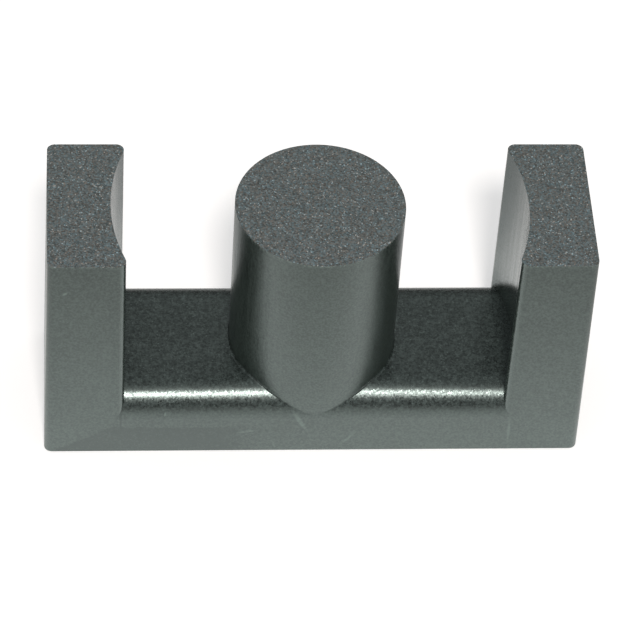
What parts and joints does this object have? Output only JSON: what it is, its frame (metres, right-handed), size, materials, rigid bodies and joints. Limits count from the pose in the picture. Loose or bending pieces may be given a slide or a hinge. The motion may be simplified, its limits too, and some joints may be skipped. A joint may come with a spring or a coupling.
{
  "type": "etd ferrite core half",
  "caption": "E-shaped ferrite core half with a round centre post and two outer legs with curved inner walls, for a transformer or choke wound on a coil former.",
  "frame": {"origin": "on the axis of the centre post, in the plane of the back face of the yoke", "axes": "+X along the length from leg to leg, +Y across the depth, +Z along the centre post towards the mating faces"},
  "size_m": [0.0348, 0.0108, 0.0173],
  "materials": {
    "ferrite": "sintered, satin on the pressed faces and ground on the mating faces"
  },
  "bodies": {
    "root": {"core_half": "ferrite"}
  },
  "joints": []
}
